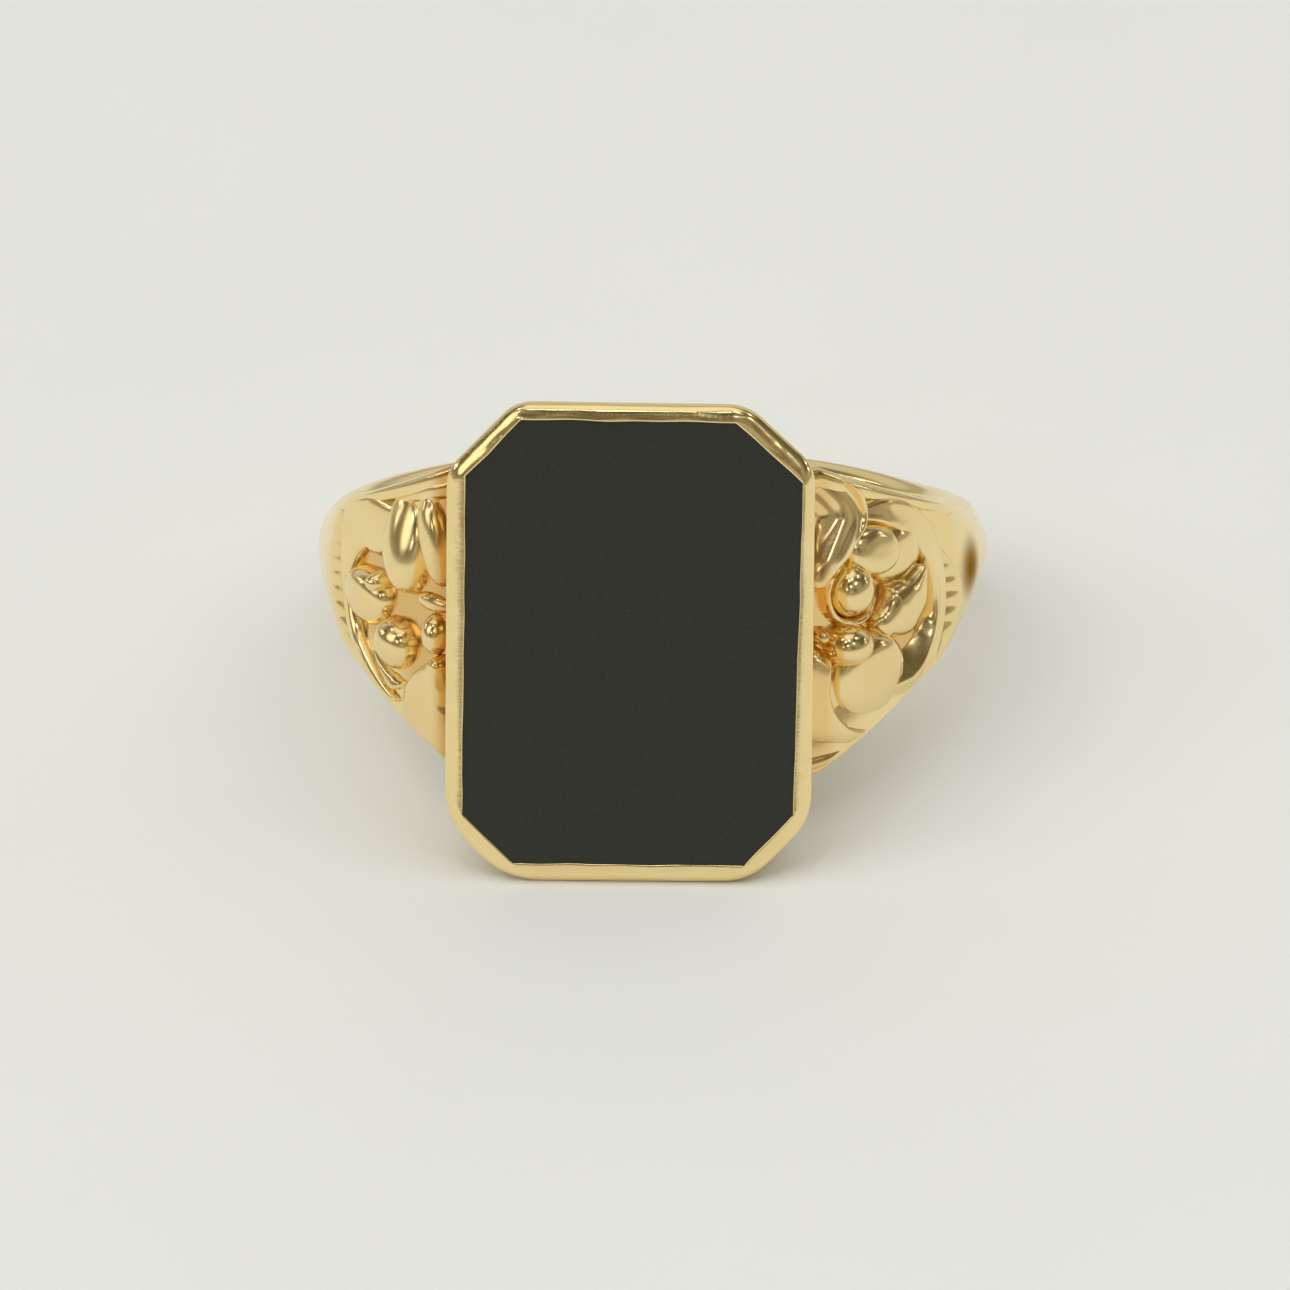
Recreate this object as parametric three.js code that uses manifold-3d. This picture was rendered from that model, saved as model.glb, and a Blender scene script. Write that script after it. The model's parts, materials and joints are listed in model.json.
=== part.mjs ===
// Gentleman's signet ring: a black onyx tablet in an octagonal gold collet, on a hoop whose two
// shoulders carry applied scroll, petal and berry relief.
//
// Millimetres. The ring is modelled in its own ring frame, X across the finger, Y along the finger and
// Z out through the signet face, with the origin at the centre of the finger hole. Angles round the hoop
// are degrees from the face, towards +X. The last section leans the finished ring to the way it rests on
// a table: on the lower edge of the collet and the back of the shank.
import * as THREE from "three";
import { mergeVertices } from "three/addons/utils/BufferGeometryUtils.js";
import Module from "manifold-3d";

// ---- driving dimensions -------------------------------------------------------------------------
const fingerRadius = 9.5;
const faceHeight = 12.5; // the onyx face above the finger's centre
const solderGap = 0.02; // the film left between pieces that are soldered or set together

const shankThickness = 1.35;
const shankEdgeThickness = 0.8;
const shankSwell = 1.24; // how much thicker the shank is at the shoulders than at the back
const shankEdgeFill = 0.3; // and how much its edges fill out there, to meet the shoulder plates
const halfWidthAtBack = 1.25;
const halfWidthAtSide = 1.6;
const halfWidthAtHead = 5.1;
const headAngle = 33; // where the hoop reaches its full width
const flare = 1.4; // how late the hoop widens towards the head
const shankJointAngle = 71; // where each shoulder is soldered to the shank

const plateRadius = 10.65; // outside of the shoulder plates, under the relief
const border = { height: 0.24, width: 0.09 }; // raised edges of the plates, the width a share of the hoop's
const bridgeRadius = 10.25; // outside of the bridge plate under the head
const bridgeAngle = 28; // where the bridge plate meets the shoulders

const collet = {
  halfWidth: 5.925,
  halfLength: 7.875,
  cornerTop: 2.4, // leg of the 45 degree corners at the top end of the face
  cornerBottom: 2.05,
  crest: 0.16, // the rubbed-over rim above the onyx face
  girdleDrop: 0.3, // the widest outline, below the onyx face
  taper: Math.tan(THREE.MathUtils.degToRad(16.5)),
  wall: 0.425,
  lip: 0.58, // visible width of the rim around the onyx
};
const tabletThickness = 1.9;
const bearing = { width: 0.85, depth: 0.7 };

// Relief on one shoulder, drawn at its angle round the hoop and its place along the finger.
const berries = {
  upper_berry: { angle: 39.6, y: 0.95, radius: 0.78 },
  lower_berry: { angle: 39.6, y: -0.93, radius: 0.7 },
  collet_bead: { angle: 33.5, y: -0.3, radius: 0.35 },
};
// A strand is a rounded ridge along a line of [angle, y] points, fullest at the share given by "belly".
const strands = {
  scroll_leaf: {
    points: [
      [29.5, 5.1], [35.5, 4.85], [40, 4.1], [41.2, 3.4], [40.2, 2.7], [37.4, 2.1], [34.8, 1.7], [32.6, 1.1],
    ],
    halfWidth: 0.42, height: 0.62, belly: 0.5,
  },
  scroll_rim: {
    points: [
      [43, 3.62], [48.5, 3.4], [53.5, 2.85], [58, 1.8], [60.4, 0.4], [60.2, -1.1], [57.4, -2.3], [52.5, -3],
    ],
    halfWidth: 0.36, height: 0.5, belly: 0.5,
  },
  upper_petal: {
    points: [[41.8, 2.55], [44.6, 2.3], [47.4, 1.7]],
    halfWidth: 0.72, height: 0.72, belly: 0.45,
  },
  curled_petal: {
    points: [[49.8, 2.85], [53, 2.5], [54.9, 1.8], [54, 1.05], [50.4, 0.8]],
    halfWidth: 0.38, height: 0.55, belly: 0.45,
  },
  middle_petal: {
    points: [[45.2, -0.1], [48.6, -0.4], [52.4, -0.25], [55.6, 0.35], [57, 1]],
    halfWidth: 0.7, height: 0.7, belly: 0.4,
  },
  lower_petal: {
    points: [[36.8, -1.9], [40.5, -2.4], [45, -2.5], [50, -2.3]],
    halfWidth: 0.85, height: 0.8, belly: 0.5,
  },
  base_leaf: {
    points: [[29.8, -2.6], [32.4, -3.3], [36.8, -3.8], [42.5, -3.7], [47.5, -3.3]],
    halfWidth: 0.6, height: 0.46, belly: 0.35,
  },
};
const milling = { from: -1.65, count: 7, pitch: 0.55, angle: 66.8, bow: 2.8, ribRadius: 0.22 };

// ---- helpers ------------------------------------------------------------------------------------
const wasm = await Module();
wasm.setup();

const radians = THREE.MathUtils.degToRad;
const clamp = THREE.MathUtils.clamp;

function toSolid(geometry) {
  const bare = geometry.index ? geometry.toNonIndexed() : geometry.clone();
  for (const name of Object.keys(bare.attributes)) {
    if (name !== "position") bare.deleteAttribute(name);
  }
  const merged = mergeVertices(bare, 1e-4);
  return new wasm.Manifold(
    new wasm.Mesh({
      numProp: 3,
      vertProperties: merged.attributes.position.array,
      triVerts: new Uint32Array(merged.index.array),
    }),
  );
}

function toGeometry(solid) {
  const mesh = solid.getMesh();
  const positions = new Float32Array(mesh.numVert * 3);
  for (let i = 0; i < mesh.numVert; i++) {
    const start = i * mesh.numProp;
    positions.set(mesh.vertProperties.subarray(start, start + 3), i * 3);
  }
  const geometry = new THREE.BufferGeometry();
  geometry.setAttribute("position", new THREE.BufferAttribute(positions, 3));
  geometry.setIndex(new THREE.BufferAttribute(mesh.triVerts, 1));
  geometry.computeVertexNormals();
  return geometry;
}

// The largest body of a solid, so that a cut leaves no crumbs behind.
function mainBody(solid) {
  const bodies = solid.decompose();
  return bodies.reduce((a, b) => (a.volume() > b.volume() ? a : b));
}

// Half the hoop's width along the finger, at an angle in degrees from the face.
function halfWidthAt(degrees) {
  const away = Math.abs(degrees);
  if (away > 90) return THREE.MathUtils.lerp(halfWidthAtSide, halfWidthAtBack, (away - 90) / 90);
  const share = clamp((90 - away) / (90 - headAngle), 0, 1);
  return halfWidthAtSide + (halfWidthAtHead - halfWidthAtSide) * share ** flare;
}

function moveVertices(geometry, place) {
  const position = geometry.getAttribute("position");
  for (let i = 0; i < position.count; i++) {
    position.setXYZ(i, ...place(position.getX(i), position.getY(i), position.getZ(i)));
  }
  return geometry;
}

// Sweeps a section round the hoop. The section's x runs from -1 to 1 over the hoop's width, and its y is
// the thickness outside the finger hole, which "shaped" may change with the angle.
function sweepRoundHoop(section, from, to, steps, shaped = (thickness) => thickness) {
  const straight = new THREE.ExtrudeGeometry(section, { depth: 1, steps, bevelEnabled: false });
  return moveVertices(straight, (across, thickness, along) => {
    const degrees = THREE.MathUtils.lerp(from, to, along);
    const angle = radians(degrees);
    const radius = fingerRadius + shaped(thickness, across, degrees);
    return [radius * Math.sin(angle), across * halfWidthAt(degrees), radius * Math.cos(angle)];
  });
}

// An octagon whose four corners are cut at 45 degrees, inset evenly from the collet's widest outline.
function octagon(inset) {
  const x = collet.halfWidth - inset;
  const y = collet.halfLength - inset;
  const cornerLoss = (2 - Math.SQRT2) * inset;
  const top = collet.cornerTop - cornerLoss;
  const bottom = collet.cornerBottom - cornerLoss;
  return new THREE.Shape([
    new THREE.Vector2(x - bottom, -y),
    new THREE.Vector2(x, bottom - y),
    new THREE.Vector2(x, y - top),
    new THREE.Vector2(x - top, y),
    new THREE.Vector2(top - x, y),
    new THREE.Vector2(-x, y - top),
    new THREE.Vector2(-x, bottom - y),
    new THREE.Vector2(bottom - x, -y),
  ]);
}

// A closed solid between two octagons, each an inset and a height.
function frustum([lowInset, lowZ], [highInset, highZ]) {
  const low = octagon(lowInset).getPoints();
  const high = octagon(highInset).getPoints();
  const solid = new THREE.ExtrudeGeometry(octagon(lowInset), { depth: 1, steps: 1, bevelEnabled: false });
  return toSolid(
    moveVertices(solid, (x, y, level) => {
      const corner = low.findIndex((p) => Math.hypot(p.x - x, p.y - y) < 1e-4);
      return level < 0.5 ? [low[corner].x, low[corner].y, lowZ] : [high[corner].x, high[corner].y, highZ];
    }),
  );
}

// A stack of frustums through the given insets and heights, from the bottom up.
function octagonalStack(levels) {
  const storeys = levels.slice(1).map((level, i) => frustum(levels[i], level));
  return storeys.reduce((a, b) => a.add(b));
}

// A cylinder along the finger whose flats stay outside the given radius.
function fingerCylinder(radius) {
  const segments = 144;
  const geometry = new THREE.CylinderGeometry(radius, radius, 40, segments);
  const outside = 1 / Math.cos(Math.PI / segments);
  return toSolid(geometry.scale(outside, 1, outside));
}

// ---- the head: onyx, collet, bearing and bridge ---------------------------------------------------
const girdleZ = faceHeight - collet.girdleDrop;
const tabletBottomZ = faceHeight - tabletThickness;
const taperedInset = (z) => (girdleZ - z) * collet.taper;

function onyxTablet(clearance) {
  return octagonalStack([
    [collet.wall + taperedInset(tabletBottomZ) - clearance, tabletBottomZ - clearance],
    [collet.wall - clearance, girdleZ],
    [collet.lip - clearance, faceHeight],
  ]);
}

// The outside of the collet, swollen by a clearance so that it can also cut its neighbours.
function colletOutside(clearance) {
  const footZ = 8.2;
  return octagonalStack([
    [taperedInset(footZ) - clearance, footZ],
    [-clearance, girdleZ],
    [0.1 - clearance, faceHeight],
    [0.32 - clearance, faceHeight + collet.crest + clearance],
  ]);
}

function colletWall() {
  const pocket = onyxTablet(solderGap);
  const mouth = octagonalStack([
    [collet.lip - solderGap, faceHeight - solderGap],
    [collet.lip - 0.12, faceHeight + 1],
  ]);
  const belowTablet = octagonalStack([
    [collet.wall + taperedInset(7.5) - solderGap, 7.5],
    [collet.wall + taperedInset(tabletBottomZ) - solderGap, tabletBottomZ],
  ]);
  const hollow = pocket.add(mouth).add(belowTablet);
  return colletOutside(0).subtract(hollow).subtract(fingerCylinder(bridgeRadius + solderGap));
}

function stoneBearing() {
  const top = tabletBottomZ - solderGap;
  const bottom = top - bearing.depth;
  const outer = octagonalStack([
    [collet.wall + taperedInset(bottom) + solderGap, bottom],
    [collet.wall + taperedInset(top) + solderGap, top],
  ]);
  const innerInset = collet.wall + taperedInset(top) + bearing.width;
  const opening = octagonalStack([
    [innerInset, bottom - 1],
    [innerInset, top + 1],
  ]);
  return outer.subtract(opening).subtract(fingerCylinder(bridgeRadius + solderGap));
}

function bridgePlate() {
  const section = new THREE.Shape([
    new THREE.Vector2(-1, 0),
    new THREE.Vector2(1, 0),
    new THREE.Vector2(1, bridgeRadius - fingerRadius),
    new THREE.Vector2(-1, bridgeRadius - fingerRadius),
  ]);
  return toSolid(sweepRoundHoop(section, -bridgeAngle, bridgeAngle, 24));
}

// ---- the hoop: shank and shoulder plates ------------------------------------------------------------
const gapAngle = THREE.MathUtils.radToDeg(solderGap / fingerRadius) * 1.5;

function shankBand() {
  const comfort = 0.1; // the softened inner edges
  const section = new THREE.Shape();
  section.moveTo(-0.94, 0);
  section.lineTo(0.94, 0);
  section.lineTo(1, comfort);
  const arcPoints = 8;
  for (let i = 0; i <= arcPoints; i++) {
    const across = 1 - (2 * i) / arcPoints;
    const crown = 1 - across * across;
    section.lineTo(across, shankEdgeThickness + (shankThickness - shankEdgeThickness) * crown);
  }
  section.lineTo(-1, comfort);
  const start = shankJointAngle + gapAngle;
  const swollen = (thickness, across, degrees) => {
    const fromBack = Math.abs(180 - degrees) / (180 - start);
    const squared = 1 + (shankSwell - 1) * fromBack ** 2 + shankEdgeFill * across ** 2 * fromBack ** 6;
    return thickness * squared;
  };
  return toSolid(sweepRoundHoop(section, start, 360 - start, 70, swollen));
}

function shoulderPlate() {
  const floor = plateRadius - fingerRadius;
  const rim = floor + border.height;
  const section = new THREE.Shape([
    new THREE.Vector2(-1, 0),
    new THREE.Vector2(1, 0),
    new THREE.Vector2(1, floor),
    new THREE.Vector2(1 - border.width * 0.4, rim),
    new THREE.Vector2(1 - border.width, floor),
    new THREE.Vector2(border.width - 1, floor),
    new THREE.Vector2(border.width * 0.4 - 1, rim),
    new THREE.Vector2(-1, floor),
  ]);
  const start = bridgeAngle + gapAngle;
  const fading = (thickness, across, degrees) => {
    const share = (degrees - start) / (shankJointAngle - start);
    return Math.min(thickness, floor) + Math.max(0, thickness - floor) * (1 - share ** 2);
  };
  const band = toSolid(sweepRoundHoop(section, start, shankJointAngle, 26, fading));
  const head = colletOutside(solderGap).subtract(fingerCylinder(bridgeRadius));
  return mainBody(band.subtract(head));
}

// ---- relief on one shoulder -------------------------------------------------------------------------
const arcPerDegree = radians(1) * plateRadius;

// A point above the plate: its arc round the hoop, its place along the finger and its rise.
function onPlate(arc, y, rise) {
  const angle = arc / plateRadius;
  const radius = plateRadius + rise;
  return [radius * Math.sin(angle), y, radius * Math.cos(angle)];
}

// A spindle along a curve, pointed at both ends, which the plate later cuts flat underneath.
function strand({ points, halfWidth, height, belly }) {
  const stations = points.map(([angle, y]) => new THREE.Vector3(angle * arcPerDegree, y, 0));
  const curve = new THREE.CatmullRomCurve3(stations);
  const length = curve.getLength();
  const sphere = new THREE.SphereGeometry(1, 10, Math.round(8 + length * 1.2));
  const skew = Math.log(0.5) / Math.log(belly);
  return moveVertices(sphere, (x, y, z) => {
    const share = Math.acos(clamp(y, -1, 1)) / Math.PI;
    const around = Math.hypot(x, z) || 1;
    const fullness = Math.max(0, Math.sin(Math.PI * share ** skew)) ** 0.6;
    const centre = curve.getPointAt(share);
    const tangent = curve.getTangentAt(share);
    const aside = (x / around) * halfWidth * fullness;
    const rise = (z / around) * height * fullness;
    return onPlate(centre.x - tangent.y * aside, centre.y + tangent.x * aside, rise);
  });
}

function berry({ angle, y, radius }) {
  const ball = new THREE.SphereGeometry(radius, 14, 9);
  return ball.translate(...onPlate(angle * arcPerDegree, y, radius * 0.1));
}

// The strip of fine ribs that edges the outer end of the shoulder.
function milledEdge() {
  const { from, count, pitch, angle, bow, ribRadius } = milling;
  const to = -from;
  const base = toSolid(
    strand({
      points: [
        [angle - bow, to + 0.5], [angle - 0.4, to * 0.6], [angle, 0], [angle - 0.4, from * 0.6],
        [angle - bow, from - 0.5],
      ],
      halfWidth: 0.5, height: 0.26, belly: 0.5,
    }),
  );
  const ribs = Array.from({ length: count }, (_, i) => {
    const y = from + i * pitch;
    const at = angle - bow * (y / to) ** 2 * 0.7;
    const rib = new THREE.SphereGeometry(ribRadius, 8, 6).scale(2.2, 1, 1).rotateY(radians(at));
    return toSolid(rib.translate(...onPlate(at * arcPerDegree, y, 0.16)));
  });
  return ribs.reduce((a, b) => a.add(b), base);
}

// Every relief piece of one shoulder, each trimmed to sit on the plate, against the collet and clear of
// the pieces made before it.
function shoulderRelief() {
  const plate = fingerCylinder(plateRadius + solderGap).add(shoulderPlate());
  const head = colletOutside(solderGap);
  const raw = { milled_edge: milledEdge() };
  for (const [name, shape] of Object.entries(berries)) raw[name] = toSolid(berry(shape));
  for (const [name, shape] of Object.entries(strands)) raw[name] = toSolid(strand(shape));
  const made = {};
  for (const [name, solid] of Object.entries(raw)) {
    const neighbours = Object.values(made).reduce((a, b) => a.add(b), head);
    made[name] = mainBody(solid.subtract(plate).subtract(neighbours));
  }
  return made;
}

// ---- materials ----------------------------------------------------------------------------------------
const gold = new THREE.MeshStandardMaterial({ color: 0xe2bf7a, roughness: 0.15, metalness: 1 });
const reliefGold = new THREE.MeshStandardMaterial({ color: 0xd9b067, roughness: 0.2, metalness: 1 });
const onyx = new THREE.MeshStandardMaterial({ color: 0x0a0a0a, roughness: 0.1, metalness: 0 });

function piece(name, solid, material) {
  const mesh = new THREE.Mesh(toGeometry(solid), material);
  mesh.name = name;
  return mesh;
}

// ---- assembly -------------------------------------------------------------------------------------------
const ring = new THREE.Group();
ring.add(
  piece("onyx_tablet", onyxTablet(0), onyx),
  piece("collet", colletWall(), gold),
  piece("stone_bearing", stoneBearing(), gold),
  piece("bridge_plate", bridgePlate(), gold),
  piece("shank", shankBand(), gold),
);

// The two shoulders are one pattern, the left turned half a turn about the signet face.
const relief = shoulderRelief();
for (const [side, turn] of [["right", 0], ["left", Math.PI]]) {
  const shoulder = new THREE.Group();
  shoulder.rotation.z = turn;
  shoulder.add(piece(`${side}_shoulder`, shoulderPlate(), gold));
  for (const [name, solid] of Object.entries(relief)) {
    shoulder.add(piece(`${side}_${name}`, solid, reliefGold));
  }
  ring.add(shoulder);
}

// ---- resting pose -------------------------------------------------------------------------------------
// The ring lies on the lower edge of its collet and the back of its shank, with its face towards -Y.
const colletFoot = new THREE.Vector2(girdleZ, -collet.halfLength);
const shankFoot = new THREE.Vector2(-(fingerRadius + shankEdgeThickness), -halfWidthAtBack);
const lean = Math.atan2(shankFoot.y - colletFoot.y, colletFoot.x - shankFoot.x);
ring.rotation.x = Math.PI / 2 - lean;

const part = new THREE.Group();
part.add(ring);
const bounds = new THREE.Box3().setFromObject(part, true);
const middle = bounds.getCenter(new THREE.Vector3());
ring.position.set(-middle.x, -middle.y, -bounds.min.z);

export default part;
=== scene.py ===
"""Looks of a signet ring: black onyx in an octagonal gold collet, with relief on both shoulders.

The ring is built in its own ring frame, in millimetres: x across the finger, y along the finger and z out
through the signet face, from the centre of the finger hole. Angles round the hoop are degrees from the
face towards +x. The relief of the right shoulder is drawn as seen. The left one has elements of the same
names with shapes of their own, and is drawn half a turn round.
"""

import json
import math

import bpy
import numpy as np
from mathutils import Matrix, Vector, noise


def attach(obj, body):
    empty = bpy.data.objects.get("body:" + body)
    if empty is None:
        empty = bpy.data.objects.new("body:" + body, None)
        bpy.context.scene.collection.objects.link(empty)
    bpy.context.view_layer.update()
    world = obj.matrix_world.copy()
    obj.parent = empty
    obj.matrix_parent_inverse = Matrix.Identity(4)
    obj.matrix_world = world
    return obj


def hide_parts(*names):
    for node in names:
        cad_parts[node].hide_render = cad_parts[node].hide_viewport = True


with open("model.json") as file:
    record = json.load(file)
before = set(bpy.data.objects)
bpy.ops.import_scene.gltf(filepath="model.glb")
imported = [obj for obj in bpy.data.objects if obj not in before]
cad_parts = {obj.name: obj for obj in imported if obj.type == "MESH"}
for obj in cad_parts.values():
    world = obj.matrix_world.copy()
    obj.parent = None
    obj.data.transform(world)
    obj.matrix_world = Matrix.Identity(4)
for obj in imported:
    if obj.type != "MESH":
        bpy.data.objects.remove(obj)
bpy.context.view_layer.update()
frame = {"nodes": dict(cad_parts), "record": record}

# ---- driving dimensions, millimetres and degrees ----------------------------------------------------
MM = 0.001
FINGER_R = 9.5
FACE_Z = 12.5
GIRDLE_Z = 12.2
TAPER = math.tan(math.radians(16.5))
WALL = 0.425
BRIDGE_R = 10.25
BRIDGE_ANGLE = 28.0
JOINT_ANGLE = 71.0
FLOOR_R = 10.6  # the sunk ground under the relief
HALF_WIDTH_BACK = 1.25
HALF_WIDTH_SIDE = 1.28
HALF_WIDTH_HEAD = 5.1
HEAD_ANGLE = 33.0
FLARE = 1.35
RISE = 0.45  # how far the sides of the hoop stand above the middle of the head
OUT_OF_SQUARE = 0.15  # how far the back of the hoop is skewed
FILM = 0.02  # between two pieces that are soldered together
FILM_ANGLE = 0.15
STONE_DEPTH = 1.9
ARC = math.radians(1) * 11.0  # length of one degree at the relief's height

# The octagons run clockwise from the left end of the top edge. Neither is quite even, and each corner of
# the wall is rounded over by a different amount.
OUTER = [
    (-3.63, 7.95), (3.74, 7.9), (5.9, 5.88), (5.76, -5.78),
    (3.77, -7.84), (-4.12, -7.88), (-6.04, -5.87), (-5.86, 5.68),
]
OUTER_RADII = [1.3, 1.5, 1.4, 2.2, 2.0, 2.6, 2.6, 1.2]
STONE = [
    (-3.46, 7.42), (3.39, 7.38), (5.52, 5.43), (5.19, -5.52),
    (3.61, -7.22), (-3.83, -7.22), (-5.46, -5.61), (-5.23, 5.56),
]

mount = frame["record"]["mounts"][0]
FACE = Vector(mount["pos_m"])
OUT = Vector(mount["axis"]).normalized()
ACROSS = Vector((1, 0, 0))
ALONG = OUT.cross(ACROSS)
RING = np.array([ACROSS, ALONG, OUT])


def to_row(points):
    """Ring-frame millimetres, as an array of points, to row-frame metres."""
    points = np.asarray(points, float).reshape(-1, 3) - (0, 0, FACE_Z)
    return points @ RING * MM + np.array(FACE)


HOOP_CENTRE = to_row((0, 0, 0))[0]


# ---- materials ----------------------------------------------------------------------------------------
def node_material(name):
    material = bpy.data.materials.new(name)
    material.use_nodes = True
    tree = material.node_tree
    return material, tree, tree.nodes["Principled BSDF"]


def add_noise(tree, scale, detail=4.0, stretch=(1, 1, 1)):
    where = tree.nodes.new("ShaderNodeTexCoord")
    mapping = tree.nodes.new("ShaderNodeMapping")
    mapping.inputs["Scale"].default_value = stretch
    texture = tree.nodes.new("ShaderNodeTexNoise")
    texture.inputs["Scale"].default_value = scale
    texture.inputs["Detail"].default_value = detail
    tree.links.new(where.outputs["Object"], mapping.inputs["Vector"])
    tree.links.new(mapping.outputs["Vector"], texture.inputs["Vector"])
    return texture.outputs["Fac"]


def ramp(tree, source, stops):
    """A colour ramp over (position, colour) stops."""
    node = tree.nodes.new("ShaderNodeValToRGB")
    for element, (position, colour) in zip(node.color_ramp.elements, (stops[0], stops[-1])):
        element.position, element.color = position, (*colour, 1)
    for position, colour in stops[1:-1]:
        node.color_ramp.elements.new(position).color = (*colour, 1)
    tree.links.new(source, node.inputs["Fac"])
    return node.outputs["Color"]


def grey(low, high, start=0.3, end=0.7):
    return [(start, (low,) * 3), (end, (high,) * 3)]


def ease(tree, source, low, high):
    """0 to 1 as the source goes from low to high, smoothly."""
    node = tree.nodes.new("ShaderNodeMapRange")
    node.interpolation_type = "SMOOTHSTEP"
    node.inputs["From Min"].default_value = low
    node.inputs["From Max"].default_value = high
    tree.links.new(source, node.inputs["Value"])
    return node.outputs["Result"]


def multiply(tree, first, second):
    node = tree.nodes.new("ShaderNodeMath")
    node.operation = "MULTIPLY"
    tree.links.new(first, node.inputs[0])
    tree.links.new(second, node.inputs[1])
    return node.outputs["Value"]


def blend(tree, factor, below, above):
    """From one colour to another, which may be a plain one."""
    node = tree.nodes.new("ShaderNodeMix")
    node.data_type = "RGBA"
    tree.links.new(factor, node.inputs["Factor"])
    tree.links.new(below, node.inputs["A"])
    if isinstance(above, tuple):
        node.inputs["B"].default_value = (*above, 1)
    else:
        tree.links.new(above, node.inputs["B"])
    return node.outputs["Result"]


def vector_math(tree, operation, source, value):
    node = tree.nodes.new("ShaderNodeVectorMath")
    node.operation = operation
    tree.links.new(source, node.inputs[0])
    node.inputs[1].default_value = value
    return node


def painted_recess_shade(tree, place, colours, recess):
    """The colours with painted shade and painted warm reflection, a brown-orange: near the radius of a
    sunk ground, and beside the collet as a painted reflection of its wall, on the left more than on the
    right."""
    from_centre = vector_math(tree, "SUBTRACT", place, HOOP_CENTRE)
    square_on = vector_math(tree, "CROSS_PRODUCT", from_centre.outputs["Vector"], ALONG)
    radius = vector_math(tree, "LENGTH", square_on.outputs["Vector"], (0, 0, 0)).outputs["Value"]
    # painted shade in the recesses: a brown-orange band about the radius of the sunk ground
    outside = ease(tree, radius, (recess - 0.14) * MM, (recess - 0.05) * MM)
    recess_shade = multiply(tree, outside, ease(tree, radius, (recess + 0.16) * MM, (recess + 0.01) * MM))
    colours = blend(tree, recess_shade, colours, (0.83, 0.55, 0.22))
    # painted reflection of the gold collet wall, with painted shade, on the ground beside it, darker on the
    # left
    split = tree.nodes.new("ShaderNodeSeparateXYZ")
    tree.links.new(place, split.inputs["Vector"])
    by_collet = multiply(tree, ease(tree, split.outputs["X"], 6.5 * MM, 6.05 * MM),
                         ease(tree, split.outputs["X"], -6.8 * MM, -6.2 * MM))
    right = ease(tree, split.outputs["X"], -1 * MM, 1 * MM)
    skin = ramp(tree, right, [(0, (0.72, 0.42, 0.13)), (1, (0.92, 0.65, 0.29))])
    return blend(tree, multiply(tree, outside, by_collet), colours, skin)


def brown_patched(tree, surface, place, colours, centre):
    """The colours darkened to brown about a point, with the shine dulled there as well."""
    away = vector_math(tree, "DISTANCE", place, centre).outputs["Value"]
    near = ease(tree, away, 1.35 * MM, 0.25 * MM)
    sheen = ramp(tree, near, [(0, (1, 1, 1)), (1, (0.55, 0.38, 0.2))])
    tree.links.new(sheen, surface.inputs["Specular Tint"])
    return blend(tree, near, colours, (0.35, 0.25, 0.14))


def gold(name, colour, dull, roughness, scratches, dents, recess=None, patch=None):
    """Polished gold, worn: clouded colour and polish, hairline scratches and shallow dents. It can have
    painted shade and painted reflection in its recesses and beside the collet, and a brown patch about a
    point."""
    material, tree, surface = node_material(name)
    surface.inputs["Metallic"].default_value = 1.0
    colours = ramp(tree, add_noise(tree, 420), [(0.3, colour), (0.75, dull)])
    place = tree.nodes.new("ShaderNodeTexCoord").outputs["Object"]
    if recess is not None:
        colours = painted_recess_shade(tree, place, colours, recess)
    if patch is not None:
        colours = brown_patched(tree, surface, place, colours, patch)
    tree.links.new(colours, surface.inputs["Base Color"])
    smears = add_noise(tree, 700, 6.0, (1, 1, 3))
    tree.links.new(ramp(tree, smears, grey(*roughness)), surface.inputs["Roughness"])
    layers = [
        (add_noise(tree, 330, 2.0), dents, 0.00006),
        (add_noise(tree, 9000, 2.0, (0.06, 1, 1)), scratches, 0.000004),
        (add_noise(tree, 8000, 2.0, (1, 0.3, 0.05)), scratches, 0.000004),
    ]
    normal = None
    for height, strength, distance in layers:
        bump = tree.nodes.new("ShaderNodeBump")
        bump.inputs["Strength"].default_value = strength
        bump.inputs["Distance"].default_value = distance
        tree.links.new(height, bump.inputs["Height"])
        if normal:
            tree.links.new(normal, bump.inputs["Normal"])
        normal = bump.outputs["Normal"]
    tree.links.new(normal, surface.inputs["Normal"])
    return material


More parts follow.
